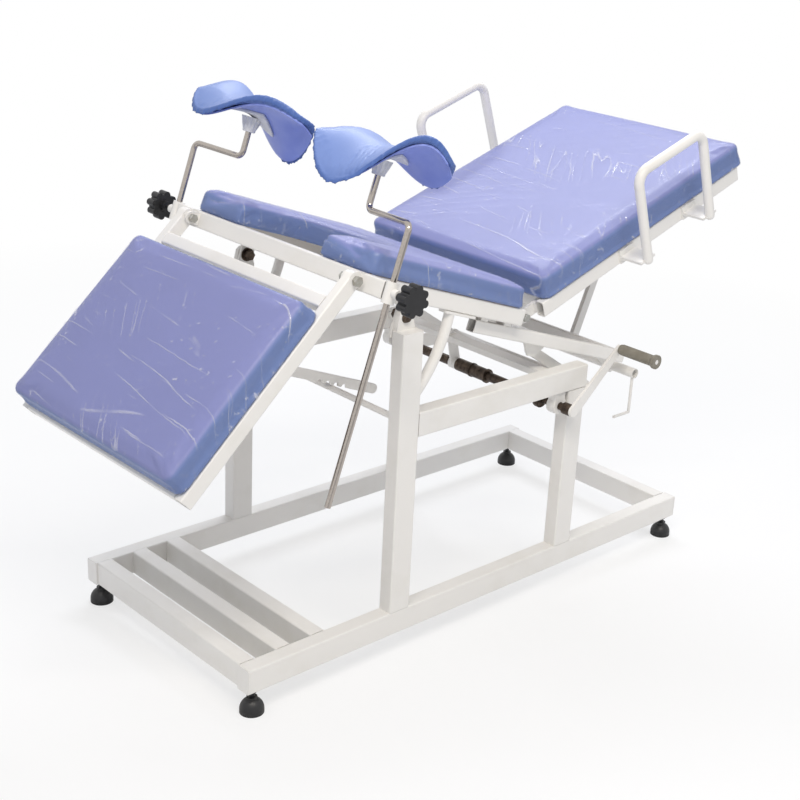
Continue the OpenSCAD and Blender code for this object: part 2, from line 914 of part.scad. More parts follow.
module back_frame() {
    color(frame_white)
        back_axes() {
            for (s = sides)
                scale([1, s, 1]) {
                    translate([back_rail_foot, seat_rail_out - seat_rail_w / 2, back_rail_v + back_rail_h / 2])
                        tube_x(seat_rail_w, back_rail_h, back_rail_head - back_rail_foot);
                    difference() {
                        union() {
                            translate([0, back_lug_y + back_lug_t, 0])
                                plate_y(back_lug_t)
                                    bar_2d(0, 0, back_bars[0], 0, hinge_lug_h, hinge_lug_h);
                            translate([back_rail_foot, back_lug_y, back_rail_v + back_lug_t])
                                cube([back_bar_w, seat_rail_in - back_lug_y, hinge_lug_h - back_lug_t]);
                        }
                        translate([0, back_lug_y - back_lug_t, 0])
                            pin_y(hinge_bolt_d + 2 * fit, 3 * back_lug_t);
                    }
                    difference() {
                        translate([track_u0, track_y, prop_line_v])
                            cube([track_u1 - track_u0, track_t, back_rail_v - prop_line_v]);
                        for (u = [track_u0 + track_pitch:track_pitch:track_u1 - track_pitch / 2])
                            translate([u, track_y - over, prop_line_v])
                                pin_y(track_notch_d, track_t + 2 * over);
                    }
                    translate([back_bars[1], track_y, back_rail_v])
                        cube([back_bars[2] - back_bars[1], track_t, back_rail_h / 2]);
                }
            for (b = back_bars)
                translate([b + back_bar_w / 2, -seat_rail_in, back_rail_v + back_rail_h / 2])
                    tube_y(back_bar_w, back_rail_h, 2 * seat_rail_in);
        }
}

module back_cushion() {
    color(vinyl_blue)
        back_axes()
            translate([back_foot, 0, back_cushion_v])
                oblong_cushion(back_len, cushion_w, back_th, seat_corner);
}

module arm_handle(s) {
    top = back_cushion_v + handle_h - handle_d / 2;
    foot = back_rail_v + back_rail_h / 2;
    rise = top - foot - handle_r;
    color(frame_white)
        back_axes()
            scale([1, s, 1]) {
                for (e = [0, 1]) {
                    u = e == 0 ? handle_u0 : handle_u1;
                    translate([u, handle_y, foot])
                        cylinder(d = handle_d, h = rise);
                    translate([u, handle_y, foot])
                        sphere(d = handle_d);
                    translate([u - handle_tab_w / 2, seat_rail_out, foot - handle_tab_t / 2])
                        cube([handle_tab_w, handle_out, handle_tab_t]);
                    translate([u - handle_tab_w / 2, seat_rail_out, foot - handle_tab_drop / 2])
                        cube([handle_tab_w, handle_tab_t, handle_tab_drop]);
                }
                translate([handle_u0 + handle_r, handle_y, top - handle_r])
                    mirror([1, 0, 0])
                        elbow(handle_d, handle_r, 90);
                translate([handle_u1 - handle_r, handle_y, top - handle_r])
                    elbow(handle_d, handle_r, 90);
                translate([handle_u0 + handle_r, handle_y, top])
                    rotate([0, 90, 0])
                        cylinder(d = handle_d, h = handle_u1 - handle_u0 - 2 * handle_r);
            }
}

module arm_handle_near() arm_handle(-1);
module arm_handle_far() arm_handle(1);

// Leg section

module leg_frame() {
    color(frame_white)
        leg_axes() {
            for (s = sides)
                scale([1, s, 1])
                    difference() {
                        union() {
                            translate([0, seat_rail_out - (seat_rail_w - slip) / 2, leg_rail_v + leg_rail_h / 2])
                                tube_x(seat_rail_w - slip, leg_rail_h, leg_rail_end);
                            translate([0, seat_rail_in + slip, leg_rail_v + leg_rail_h / 2])
                                pin_y(leg_rail_h, seat_rail_w - slip);
                        }
                        translate([0, seat_rail_in - over, 0])
                            pin_y(hinge_bolt_d + 2 * fit, seat_rail_w + 2 * over);
                    }
            for (b = leg_bars)
                translate([b + leg_bar_w / 2, -seat_rail_in - slip, leg_rail_v + leg_rail_h / 2])
                    tube_y(leg_bar_w, leg_rail_h, 2 * (seat_rail_in + slip));
            for (s = sides)
                difference() {
                    translate([0, leg_prop_y + s * leg_prop_t + link_t / 2, 0])
                        plate_y(link_t)
                            bar_2d(leg_bars[1] + leg_bar_w / 2, leg_rail_v + leg_rail_h / 2, leg_prop_u,
                                leg_rail_v - leg_prop_lug_h, leg_prop_h, leg_prop_h);
                    translate([leg_prop_u, leg_prop_y - 3 * leg_prop_t, leg_rail_v - leg_prop_lug_h])
                        pin_y(pin_d, 6 * leg_prop_t);
                }
            translate([leg_prop_u, leg_prop_y - leg_prop_t - link_t, leg_rail_v - leg_prop_lug_h])
                pin_y(pin_d, 2 * leg_prop_t + 2 * link_t);
        }
}

module leg_cushion() {
    color(vinyl_blue)
        leg_axes()
            translate([leg_cushion_u, 0, leg_cushion_v])
                oblong_cushion(leg_len, leg_w, leg_th, seat_corner);
}

function leg_xz(u, v) = let (x = -u * cos(leg_rest) - v * sin(leg_rest), z = -u * sin(leg_rest) + v * cos(leg_rest))
    tilt_xz(leg_hinge_u + x, leg_hinge_v + z);

prop_pin_xz = leg_xz(leg_prop_u, leg_rail_v - leg_prop_lug_h);
rod_rest_z = rest_rod_z + rest_rod_d / 2 + 4 * slip;

// Notched bar that lies on the rod between the front posts
module leg_prop() {
    slope = atan2(rod_rest_z + leg_prop_h / 2 - prop_pin_xz[1], rest_rod_x - prop_pin_xz[0]);
    reach = sqrt(pow(rest_rod_x - prop_pin_xz[0], 2) + pow(rod_rest_z + leg_prop_h / 2 - prop_pin_xz[1], 2));
    color(frame_white)
        translate([prop_pin_xz[0], leg_prop_y + leg_prop_t / 2 - slip, prop_pin_xz[1]])
            rotate([0, -slope, 0])
                difference() {
                    plate_y(leg_prop_t - 2 * slip) {
                        bar_2d(0, 0, leg_prop_len, 0, leg_prop_h, leg_prop_h);
                    }
                    translate([0, -leg_prop_t, 0])
                        pin_y(pin_d + 2 * fit, 2 * leg_prop_t);
                    for (i = [0:leg_prop_notches - 1])
                        translate([reach + (i - 1.5) * leg_prop_pitch, -leg_prop_t, -leg_prop_h / 2])
                            pin_y(leg_prop_notch_d, 2 * leg_prop_t);
                }
}

// Holder rods

module holder_rod(s) {
    h = rod_high - rod_bend;
    color(chrome_grey)
        tilting()
            scale([1, s, 1])
                translate([sleeve_u, sleeve_y, rod_lift(s)])
                    rotate([0, 0, rod_swing(s)]) {
                    translate([0, 0, rod_low])
                        cylinder(d = rod_d, h = h - rod_low);
                    translate([0, -rod_bend, h])
                        rotate([0, 0, 90])
                            elbow(rod_d, rod_bend, 90);
                    translate([0, -rod_bend, rod_high])
                        rotate([90, 0, 0])
                            cylinder(d = rod_d, h = rod_reach(s) - 2 * rod_bend);
                    translate([0, -rod_reach(s) + rod_bend, rod_high + rod_bend])
                        rotate([0, 0, -90])
                            mirror([0, 0, 1])
                                elbow(rod_d, rod_bend, 90);
                    translate([0, -rod_reach(s), rod_high + rod_bend])
                        cylinder(d = rod_d, h = saddle_heights[side_of(s)] - bracket_drop + socket_len
                            - rod_high - rod_bend - rod_lift(s));
                }
}

module holder_rod_near() holder_rod(-1);
module holder_rod_far() holder_rod(1);

// Saddle-shaped leg holders

// Height of the saddle's middle surface at t along it and w across it, both -1 to 1
function saddle_half(t) = sqrt(max(1 - pow(abs(t), 2.6), 0.01));
function saddle_mean(t) = saddle_len / 2 * (saddle_rise_share * t + saddle_cup_share * t * t
    - saddle_ease_share * t * t * t);
function saddle_lean(t) = saddle_len / 2 * (saddle_twist_share * t - saddle_lean_share
    + saddle_flare_share * t * t);
function saddle_h(t, w) = let (k = w / saddle_half(t))
    saddle_mean(t) + (1 - t * t) * (saddle_bulge * (1 - k * k) - saddle_lean(t) * k);

module saddle_axes(s)
    tilting()
        translate([sleeve_u + rod_reach(s) * sin(rod_swing(s)),
            s * (sleeve_y - rod_reach(s) * cos(rod_swing(s))), saddle_heights[side_of(s)]])
            rotate([0, 0, saddle_yaws[side_of(s)]])
                children();

saddle_n = 20;
saddle_m = 12;
// Share of the full thickness left at the rim
rim_share = 0.75;

pad_low = -pad_th / 2;
shell_low = pad_low - gap - shell_th;
plate_low = shell_low - gap - bracket_plate_t;

// Skin over the saddle's grid, less trim rows at its ends and cut rows at its sides
module saddle_skin(low, high, trim = 0, cut = 0, rolled = false) {
    n = saddle_n - 2 * trim;
    m = saddle_m - 2 * cut;
    pts = [for (f = [0, 1]) for (i = [0:n]) for (j = [0:m])
        let (t = sin(90 * (2 * (i + trim) / saddle_n - 1)), w = 2 * (j + cut) / saddle_m - 1,
            y = w * saddle_half(t),
            rim = rolled ? rim_share + (1 - rim_share) * (1 - pow(max(abs(w), abs(t)), 6)) : 1)
        [t * saddle_len / 2, y * saddle_w / 2, saddle_h(t, y) + (f == 0 ? low : low + (high - low) * rim)]];
    k = (n + 1) * (m + 1);
    c = m + 1;
    low_faces = [for (i = [0:n - 1]) for (j = [0:m - 1]) for (e = [0, 1])
        e == 0 ? [i * c + j, (i + 1) * c + j, (i + 1) * c + j + 1] : [i * c + j, (i + 1) * c + j + 1, i * c + j + 1]];
    high_faces = [for (q = low_faces) [q[0] + k, q[2] + k, q[1] + k]];
    ends = [for (i = [0, n]) for (j = [0:m - 1]) for (e = [0, 1])
        let (p = i * c + j)
        (i == 0) == (e == 0) ? (i == 0 ? [p, p + 1, p + 1 + k] : [p, p + k, p + 1 + k])
            : (i == 0 ? [p, p + 1 + k, p + k] : [p, p + 1 + k, p + 1])];
    flanks = [for (j = [0, m]) for (i = [0:n - 1]) for (e = [0, 1])
        let (p = i * c + j, q = (i + 1) * c + j)
        j == 0 ? (e == 0 ? [p, p + k, q + k] : [p, q + k, q]) : (e == 0 ? [p, q + k, p + k] : [p, q, q + k])];
    polyhedron(pts, concat(low_faces, high_faces, ends, flanks));
}

module holder_pad(s) {
    color(holder_blue)
        saddle_axes(s)
            saddle_skin(pad_low, pad_low + pad_th, rolled = true);
}

module holder_pad_near() holder_pad(-1);
module holder_pad_far() holder_pad(1);

module holder_shell(s) {
    color(holder_blue)
        saddle_axes(s)
            saddle_skin(shell_low, shell_low + shell_th, shell_trim, shell_cut);
}

module holder_shell_near() holder_shell(-1);
module holder_shell_far() holder_shell(1);

module holder_bracket(s) {
    color(frame_white)
        saddle_axes(s)
            difference() {
                union() {
                    translate([0, 0, -bracket_drop])
                        cylinder(d1 = socket_d, d2 = socket_top_d, h = bracket_drop + bracket_top);
                    saddle_skin(plate_low, shell_low - gap, plate_trim, plate_cut);
                    saddle_skin(plate_low - bracket_fill, plate_low + bracket_plate_t / 2, fill_trim, fill_cut);
                }
                translate([0, 0, -bracket_drop - over])
                    cylinder(d = rod_d + 2 * fit, h = socket_len + over + slip);
            }
}

module holder_bracket_near() holder_bracket(-1);
module holder_bracket_far() holder_bracket(1);

// Clamp knobs

module clamp_knob(s) {
    color(black_plastic)
        tilting()
            scale([1, s, 1])
                translate([sleeve_u, knob_y - knob_t / 2, seat_mid_v]) {
                    rotate([-90, 0, 0])
                        linear_extrude(knob_t) {
                            circle(d = knob_core_d);
                            for (i = [0:knob_lobes - 1])
                                rotate(i * 360 / knob_lobes)
                                    translate([knob_d / 2 - knob_lobe_d / 2, 0])
                                        circle(d = knob_lobe_d);
                        }
                    translate([0, -knob_neck_t, 0])
                        pin_y(knob_neck_d, knob_neck_t + over);
                    translate([0, sleeve_y + rod_d / 2 + slip - knob_y + knob_t / 2, 0])
                        pin_y(knob_stud_d, knob_y - knob_t / 2 - sleeve_y - rod_d / 2);
                }
}

module clamp_knob_near() clamp_knob(-1);
module clamp_knob_far() clamp_knob(1);

// Crank and lift

module crank_shaft() {
    color(steel_dark) {
        translate([crank_x, -hub_y - crank_hub_len / 2, crank_z])
            pin_y(crank_d, hub_y + crank_hub_len / 2 + hanger_y - over);
        translate([crank_x, -hub_y - crank_hub_len / 2, crank_z])
            pin_y(crank_hub_d, crank_hub_len);
    }
}

module crank_arm() {
    tip_x = crank_x + crank_arm_len * cos(crank_angle);
    tip_z = crank_z + crank_arm_len * sin(crank_angle);
    color(frame_white) {
        translate([0, -crank_arm_y, 0])
            plate_y(crank_arm_t)
                bar_2d(crank_x, crank_z, tip_x, tip_z, crank_hub_d, crank_arm_w);
        translate([tip_x, -grip_start - grip_len, tip_z])
            pin_y(grip_pin_d, grip_start + grip_len - crank_arm_y + over);
    }
}

module crank_grip() {
    tip_x = crank_x + crank_arm_len * cos(crank_angle);
    tip_z = crank_z + crank_arm_len * sin(crank_angle);
    color(grip_taupe)
        translate([tip_x, -grip_start, tip_z])
            rotate([90, 0, 0])
                rotate_extrude()
                    polygon([[grip_pin_d / 2 + fit, 0], [grip_neck_d / 2, 0], [grip_d / 2, grip_flange_t],
                        [grip_d / 2, grip_len - 2 * grip_flange_t], [grip_flange_d / 2, grip_len - grip_flange_t],
                        [grip_flange_d / 2, grip_len], [grip_pin_d / 2 + fit, grip_len]]);
}

function polar_xz(x, z, len, a) = [x + len * cos(a), z + len * sin(a)];
lug_xz = tilt_xz(link_lug_u, link_lug_v);
lug_reach = norm([lug_xz[0] - crank_x, lug_xz[1] - crank_z]);
lever_angle = atan2(lug_xz[1] - crank_z, lug_xz[0] - crank_x)
    - acos((pow(lever_len, 2) + pow(lug_reach, 2) - pow(link_len, 2)) / (2 * lever_len * lug_reach));
lever_tip = polar_xz(crank_x, crank_z, lever_len, lever_angle);
link_top = lug_xz;

module torque_tube() {
    color(steel_dark)
        difference() {
            union() {
                translate([crank_x, -torque_end, crank_z])
                    pin_y(torque_d, 2 * torque_end);
                translate([crank_x, hub_foot, crank_z])
                    pin_y(hub_d, hanger_y - hub_foot);
                for (y = [hub_foot, hub_ring])
                    translate([crank_x, y, crank_z])
                        pin_y(hub_ring_d, hub_ring_t);
                for (s = sides)
                    translate([crank_x, s * (torque_end - knurl_t / 2) - knurl_t / 2 + slip / 2, crank_z])
                        pin_y(knurl_d, knurl_t - slip);
                translate([crank_x, torque_end - over, crank_z])
                    pin_y(crank_d, bearing_y - torque_end + over);
            }
            translate([crank_x, -torque_end - over, crank_z])
                pin_y(crank_d + 2 * fit, torque_end + hanger_y + over);
        }
}

// Levers on the torque tube, joined by a cross tube at their tips
module lift_levers() {
    color(frame_white)
        difference() {
            union() {
                for (s = sides)
                    scale([1, s, 1]) {
                        translate([0, lever_y + lever_t, 0])
                            plate_y(lever_t)
                                bar_2d(crank_x, crank_z, lever_tip[0], lever_tip[1], lever_w, lever_tip_w);
                        translate([lever_tip[0], lever_y, lever_tip[1]])
                            pin_y(pin_d, link_y - lever_y + link_t + slip + over);
                        translate([lever_tip[0], link_y + link_t + slip, lever_tip[1]])
                            pin_y(pin_head_d, pin_head_t);
                    }
                translate([lever_tip[0], -lever_y - over, lever_tip[1]])
                    pin_y(lever_bar_d, 2 * (lever_y + over));
            }
            translate([crank_x, -lever_y - 2 * lever_t, crank_z])
                pin_y(torque_d + 2 * fit, 2 * (lever_y + 2 * lever_t));
        }
}

module lift_link(s) {
    color(frame_white)
        scale([1, s, 1]) {
            translate([link_top[0], link_y - pin_head_t, link_top[1]])
                pin_y(pin_d, link_lug_y - slip - link_y + pin_head_t);
            translate([link_top[0], link_y - pin_head_t, link_top[1]])
                pin_y(pin_head_d, pin_head_t);
            difference() {
                translate([0, link_y + link_t, 0])
                    plate_y(link_t)
                        bar_2d(lever_tip[0], lever_tip[1], link_top[0], link_top[1], link_w, link_w);
                translate([lever_tip[0], link_y - link_t, lever_tip[1]])
                    pin_y(pin_d + 2 * fit, 3 * link_t);
            }
        }
}

module lift_link_near() lift_link(-1);
module lift_link_far() lift_link(1);

// Back prop, two legs joined by a cross rod at the top

prop_foot = tilt_xz(prop_pin_u, prop_pin_v);
prop_du = prop_pin_u - back_hinge_u;
prop_dv = prop_pin_v - seat_mid_v;
prop_down = prop_line_v + prop_du * sin(back_rest) - prop_dv * cos(back_rest);
prop_top_u = prop_du * cos(back_rest) + prop_dv * sin(back_rest) + sqrt(pow(prop_len, 2) - pow(prop_down, 2));
prop_rest = back_rest + atan2(prop_down, prop_top_u - prop_du * cos(back_rest) - prop_dv * sin(back_rest));

module back_prop() {
    lean = prop_rest - tilt_rest;
    color(frame_white)
        translate([prop_foot[0], 0, prop_foot[1]])
            rotate([0, -lean, 0]) {
                for (s = sides)
                    scale([1, s, 1])
                        difference() {
                            translate([0, prop_y + prop_w / 2, 0])
                                plate_y(prop_w - slip)
                                    bar_2d(0, 0, prop_len, 0, prop_eye_d, prop_h);
                            translate([0, prop_y - prop_w, 0])
                                pin_y(prop_rod_d + 2 * fit, 2 * prop_w);
                        }
                translate([prop_len, -prop_y - prop_w / 2 + slip, 0])
                    pin_y(prop_rod_d, 2 * prop_y + prop_w - 2 * slip);
            }
}

// Release lever

module release_lever() {
    c = tilt_xz(release_u, release_v);
    color(frame_white)
        translate([c[0], 0, c[1]])
            difference() {
                union() {
                    translate([0, -release_y, 0])
                        pin_y(release_d, 2 * release_y);
                    translate([0, -release_y + release_arm_d, -release_drop])
                        cylinder(d = release_arm_d, h = release_drop - release_d / 3);
                    translate([0, -release_y + release_arm_d, -release_drop])
                        sphere(d = release_arm_d);
                    translate([-release_hook, -release_y + release_arm_d, -release_drop])
                        rotate([0, 90, 0])
                            cylinder(d = release_arm_d, h = release_hook);
                }
                translate([0, -release_y - over, 0])
                    pin_y(release_d - 2 * release_wall, 2 * release_y + 2 * over);
            }
}

base_frame();
tube_caps();
front_post_near();
front_post_far();
head_post_near();
head_post_far();
side_rail_near();
side_rail_far();
cross_member();
rest_bracket_near();
rest_bracket_far();
leg_rest_rod();
foot_front_near();
foot_front_far();
foot_head_near();
foot_head_far();
bearing_near();
bearing_far();
tilt_bolts();
seat_frame();
lift_beams();
rod_sleeve_near();
rod_sleeve_far();
seat_cushion();
leg_hinge_bolts();
back_hinge_bolts();
back_frame();
back_cushion();
arm_handle_near();
arm_handle_far();
leg_frame();
leg_cushion();
leg_prop();
holder_rod_near();
holder_rod_far();
holder_bracket_near();
holder_bracket_far();
holder_shell_near();
holder_shell_far();
holder_pad_near();
holder_pad_far();
clamp_knob_near();
clamp_knob_far();
crank_shaft();
crank_arm();
crank_grip();
torque_tube();
lift_levers();
lift_link_near();
lift_link_far();
back_prop();
release_lever();
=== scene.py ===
import math

import bmesh
import bpy
from mathutils import Matrix, Vector, noise


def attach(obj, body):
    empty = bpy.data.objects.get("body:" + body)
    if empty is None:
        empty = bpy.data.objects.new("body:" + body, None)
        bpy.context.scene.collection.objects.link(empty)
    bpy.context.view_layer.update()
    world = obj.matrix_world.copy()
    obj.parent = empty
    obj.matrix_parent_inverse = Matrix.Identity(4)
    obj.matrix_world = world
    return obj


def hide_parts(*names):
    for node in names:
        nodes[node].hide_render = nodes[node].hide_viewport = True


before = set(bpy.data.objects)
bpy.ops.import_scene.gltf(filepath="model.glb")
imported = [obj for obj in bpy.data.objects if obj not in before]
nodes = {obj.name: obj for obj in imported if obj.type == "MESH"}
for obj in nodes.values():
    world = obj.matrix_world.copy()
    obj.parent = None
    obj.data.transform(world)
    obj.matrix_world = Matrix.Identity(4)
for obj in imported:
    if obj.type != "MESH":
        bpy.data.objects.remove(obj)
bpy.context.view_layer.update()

print("stage: frame loaded,", len(nodes), "nodes")


def linear(hexCode):
    parts = [int(hexCode[i:i + 2], 16) / 255 for i in (1, 3, 5)]
    return [p / 12.92 if p <= 0.04045 else ((p + 0.055) / 1.055) ** 2.4 for p in parts] + [1.0]


def add(tree, kind, values=None, links=None, **settings):
    n = tree.nodes.new(kind)
    for key, value in settings.items():
        setattr(n, key, value)
    for key, value in (values or {}).items():
        n.inputs[key].default_value = value
    for key, socket in (links or {}).items():
        tree.links.new(socket, n.inputs[key])
    return n


def grey(value):
    return [value, value, value, 1.0]


def finish(name):
    made = bpy.data.materials.new(name)
    made.use_nodes = True
    tree = made.node_tree
    tree.nodes.clear()
    out = add(tree, "ShaderNodeOutputMaterial")
    shader = add(tree, "ShaderNodeBsdfPrincipled")
    tree.links.new(shader.outputs[0], out.inputs[0])
    place = add(tree, "ShaderNodeTexCoord")
    return made, tree, shader, place.outputs["Object"]


def cloud(tree, place, scale, detail=3.0, roughness=0.5):
    return add(tree, "ShaderNodeTexNoise", {"Scale": scale, "Detail": detail, "Roughness": roughness},
               {"Vector": place})


# epoxy-polyester powder coat on steel tube: satin, faint orange peel, a little dust in scattered patches
powderCoat = {"colour": "#eceae6", "dust": "#d9d5ca", "peelMm": 2.2, "roughness": 0.38, "edgeMm": 1.6}


def makePowderCoat():
    made, tree, shader, place = finish("powderCoatedSteel")
    peel = cloud(tree, place, 1000 / powderCoat["peelMm"], 2.0)
    patches = cloud(tree, place, 7.0, 5.0, 0.62)
    tone = add(tree, "ShaderNodeMix", {6: linear(powderCoat["colour"]), 7: linear(powderCoat["dust"])},
               data_type="RGBA")
    share = add(tree, "ShaderNodeMapRange", {"From Min": 0.5, "From Max": 0.85, "To Min": 0.0, "To Max": 0.45},
                {"Value": patches.outputs["Fac"]})
    tree.links.new(share.outputs[0], tone.inputs[0])
    tree.links.new(tone.outputs[2], shader.inputs["Base Color"])
    dull = add(tree, "ShaderNodeMapRange", {"To Min": powderCoat["roughness"] - 0.06,
                                            "To Max": powderCoat["roughness"] + 0.1},
               {"Value": patches.outputs["Fac"]})
    tree.links.new(dull.outputs[0], shader.inputs["Roughness"])
    edge = add(tree, "ShaderNodeBevel", {"Radius": powderCoat["edgeMm"] / 1000}, samples=4)
    bump = add(tree, "ShaderNodeBump", {"Strength": 0.12, "Distance": 0.0002},
               {"Height": peel.outputs["Fac"], "Normal": edge.outputs[0]})
    tree.links.new(bump.outputs[0], shader.inputs["Normal"])
    return made


# calendered soft PVC on knitted backing: fine leather grain, broad soft sheen,
# violet-blue on top; the darker, bluer colour on the sides and undersides is painted shade
vinyl = {"top": "#7c82b9", "side": "#6178ae", "grainMm": 1.3, "roughness": 0.42, "mottle": 0.06}


def makeVinyl(name, top, side):
    made, tree, shader, place = finish(name)
    grain = add(tree, "ShaderNodeTexVoronoi", {"Scale": 1000 / vinyl["grainMm"]}, {"Vector": place},
                feature="DISTANCE_TO_EDGE")
    patches = cloud(tree, place, 9.0, 4.0, 0.6)
    # painted shade: the darker side colour is mixed in by the attribute read below, high on sides and undersides
    band = add(tree, "ShaderNodeAttribute", attribute_name="paintedSideShade")
    tone = add(tree, "ShaderNodeMix", {6: linear(top), 7: linear(side)}, {0: band.outputs["Fac"]},
               data_type="RGBA")
    shade = add(tree, "ShaderNodeMapRange", {"To Min": 1 - vinyl["mottle"], "To Max": 1 + vinyl["mottle"]},
                {"Value": patches.outputs["Fac"]})
    colour = add(tree, "ShaderNodeVectorMath", {}, {0: tone.outputs[2], 1: shade.outputs[0]}, operation="MULTIPLY")
    tree.links.new(colour.outputs[0], shader.inputs["Base Color"])
    shader.inputs["Roughness"].default_value = vinyl["roughness"]
    bump = add(tree, "ShaderNodeBump", {"Strength": 0.1, "Distance": 0.0003}, {"Height": grain.outputs["Distance"]})
    tree.links.new(bump.outputs[0], shader.inputs["Normal"])
    return made


# blown polyethylene film, 0.05 mm: clear and glossy; the thin white lines and flecks along its creases are painted
# glints
film = {"clear": 0.045, "glintOpacity": 0.42, "roughness": 0.12, "paintedGrazingSheen": 0.24, "crest": 0.993,
        "bend": 9.0, "fleck": 75.0}
# each run of painted glint lines: its direction in degrees, lines per 0.31 m and how much of the sheet it leaves smooth
creaseRuns = [(38, 7.0, 0.5), (-47, 6.0, 0.57), (12, 9.0, 0.54)]


def creaseLines(tree, place):
    runs = []
    for angle, count, smooth in creaseRuns:
        laid = add(tree, "ShaderNodeMapping", {"Rotation": (0.0, 0.0, math.radians(angle)),
                                               "Scale": (1.0, 0.12, 0.35)}, {"Vector": place})
        wave = add(tree, "ShaderNodeTexWave", {"Scale": count, "Distortion": film["bend"], "Detail": 1.5,
                                               "Detail Scale": 0.9}, {"Vector": laid.outputs[0]},
                   wave_type="BANDS", bands_direction="X")
        thin = add(tree, "ShaderNodeMapRange", {"From Min": film["crest"], "From Max": 1.0},
                   {"Value": wave.outputs["Fac"]})
        spots = cloud(tree, place, 5.0 + angle * 0.03, 2.0, 0.6)
        there = add(tree, "ShaderNodeMapRange", {"From Min": smooth, "From Max": smooth + 0.12},
                    {"Value": spots.outputs["Fac"]})
        runs.append(add(tree, "ShaderNodeMath", {}, {0: thin.outputs[0], 1: there.outputs[0]}, operation="MULTIPLY"))
    first = add(tree, "ShaderNodeMath", {}, {0: runs[0].outputs[0], 1: runs[1].outputs[0]}, operation="MAXIMUM")
    return add(tree, "ShaderNodeMath", {}, {0: first.outputs[0], 1: runs[2].outputs[0]}, operation="MAXIMUM")


def makeFilm():
    made, tree, shader, place = finish("clearPolyethyleneFilm")
    shader.inputs["Base Color"].default_value = linear("#f8f9fd")
    shader.inputs["Roughness"].default_value = film["roughness"]
    shader.inputs["IOR"].default_value = 1.5
    crease = add(tree, "ShaderNodeAttribute", attribute_name="crease")
    lines = creaseLines(tree, place)
    sharp = add(tree, "ShaderNodeMapRange", {"From Min": 0.75, "From Max": 1.0}, {"Value": crease.outputs["Fac"]})
    runs = add(tree, "ShaderNodeMath", {}, {0: lines.outputs[0], 1: sharp.outputs[0]}, operation="MAXIMUM")
    crackle = cloud(tree, place, film["fleck"], 3.0, 0.6)
    bright = add(tree, "ShaderNodeMapRange", {"From Min": 0.58, "From Max": 0.68}, {"Value": crackle.outputs["Fac"]})
    pinched = add(tree, "ShaderNodeMapRange", {"From Min": 0.3, "From Max": 0.7}, {"Value": crease.outputs["Fac"]})
    glintFlecks = add(tree, "ShaderNodeMath", {}, {0: bright.outputs[0], 1: pinched.outputs[0]}, operation="MULTIPLY")
    both = add(tree, "ShaderNodeMath", {}, {0: runs.outputs[0], 1: glintFlecks.outputs[0]}, operation="MAXIMUM")
    # painted glints: the white base shows opaque along the crease lines and flecks
    ridge = add(tree, "ShaderNodeMapRange", {"To Min": film["clear"], "To Max": film["glintOpacity"]},
                {"Value": both.outputs[0]})
    # painted sheen: the white film is made more opaque at grazing angles
    rim = add(tree, "ShaderNodeLayerWeight", {"Blend": 0.2})
    paintedGrazingSheen = add(tree, "ShaderNodeMath", {1: film["paintedGrazingSheen"]}, {0: rim.outputs["Fresnel"]}, operation="MULTIPLY")
    see = add(tree, "ShaderNodeMath", {}, {0: ridge.outputs[0], 1: paintedGrazingSheen.outputs[0]}, operation="MAXIMUM")
    tree.links.new(see.outputs[0], shader.inputs["Alpha"])
    loose = cloud(tree, place, 16.0, 3.0, 0.55)
    height = add(tree, "ShaderNodeMath", {1: 0.35, 2: 0.0}, {0: loose.outputs["Fac"]}, operation="MULTIPLY_ADD")
    tree.links.new(both.outputs[0], height.inputs[2])
    bump = add(tree, "ShaderNodeBump", {"Strength": 0.5, "Distance": 0.002}, {"Height": height.outputs[0]})
    tree.links.new(bump.outputs[0], shader.inputs["Normal"])
    return made


# bright-drawn steel rod with thin nickel-chrome; its slightly brown tone and dark and light streaks are a painted
# reflection of the surroundings
chrome = {"dark": "#8f857c", "light": "#cfc8c1", "roughness": 0.14, "drawMm": 1.2}


def makeChrome():
    made, tree, shader, place = finish("chromedSteelRod")
    shader.inputs["Metallic"].default_value = 1.0
    stretch = add(tree, "ShaderNodeMapping", {"Scale": (1.0, 1.0, 0.06)}, {"Vector": place})
    drawStreakAndReflection = cloud(tree, stretch.outputs[0], 1000 / chrome["drawMm"], 2.0)
    # painted reflection: dark and light brownish streaks in the metal's colour
    tone = add(tree, "ShaderNodeMix", {6: linear(chrome["dark"]), 7: linear(chrome["light"])},
               {0: drawStreakAndReflection.outputs["Fac"]}, data_type="RGBA")
    tree.links.new(tone.outputs[2], shader.inputs["Base Color"])
    dull = add(tree, "ShaderNodeMapRange", {"To Min": chrome["roughness"] - 0.05, "To Max": chrome["roughness"] + 0.08},
               {"Value": drawStreakAndReflection.outputs["Fac"]})
    tree.links.new(dull.outputs[0], shader.inputs["Roughness"])
    return made


def makePlain(name, colour, second, roughness, metallic, scaleMm, bumpMm, strength=0.2, share=(0.35, 0.75)):
    made, tree, shader, place = finish(name)
    patches = cloud(tree, place, 1000 / scaleMm, 4.0, 0.6)
    mixed = add(tree, "ShaderNodeMapRange", {"From Min": share[0], "From Max": share[1]},
                {"Value": patches.outputs["Fac"]})
    tone = add(tree, "ShaderNodeMix", {6: linear(colour), 7: linear(second)}, {0: mixed.outputs[0]},
               data_type="RGBA")
    tree.links.new(tone.outputs[2], shader.inputs["Base Color"])
    shader.inputs["Metallic"].default_value = metallic
    dull = add(tree, "ShaderNodeMapRange", {"To Min": roughness - 0.05, "To Max": roughness + 0.08},
               {"Value": patches.outputs["Fac"]})
    tree.links.new(dull.outputs[0], shader.inputs["Roughness"])
    grain = cloud(tree, place, 1000 / bumpMm, 2.0)
    edge = add(tree, "ShaderNodeBevel", {"Radius": 0.0008}, samples=4)
    bump = add(tree, "ShaderNodeBump", {"Strength": strength, "Distance": 0.0003},
               {"Height": grain.outputs["Fac"], "Normal": edge.outputs[0]})
    tree.links.new(bump.outputs[0], shader.inputs["Normal"])
    return made


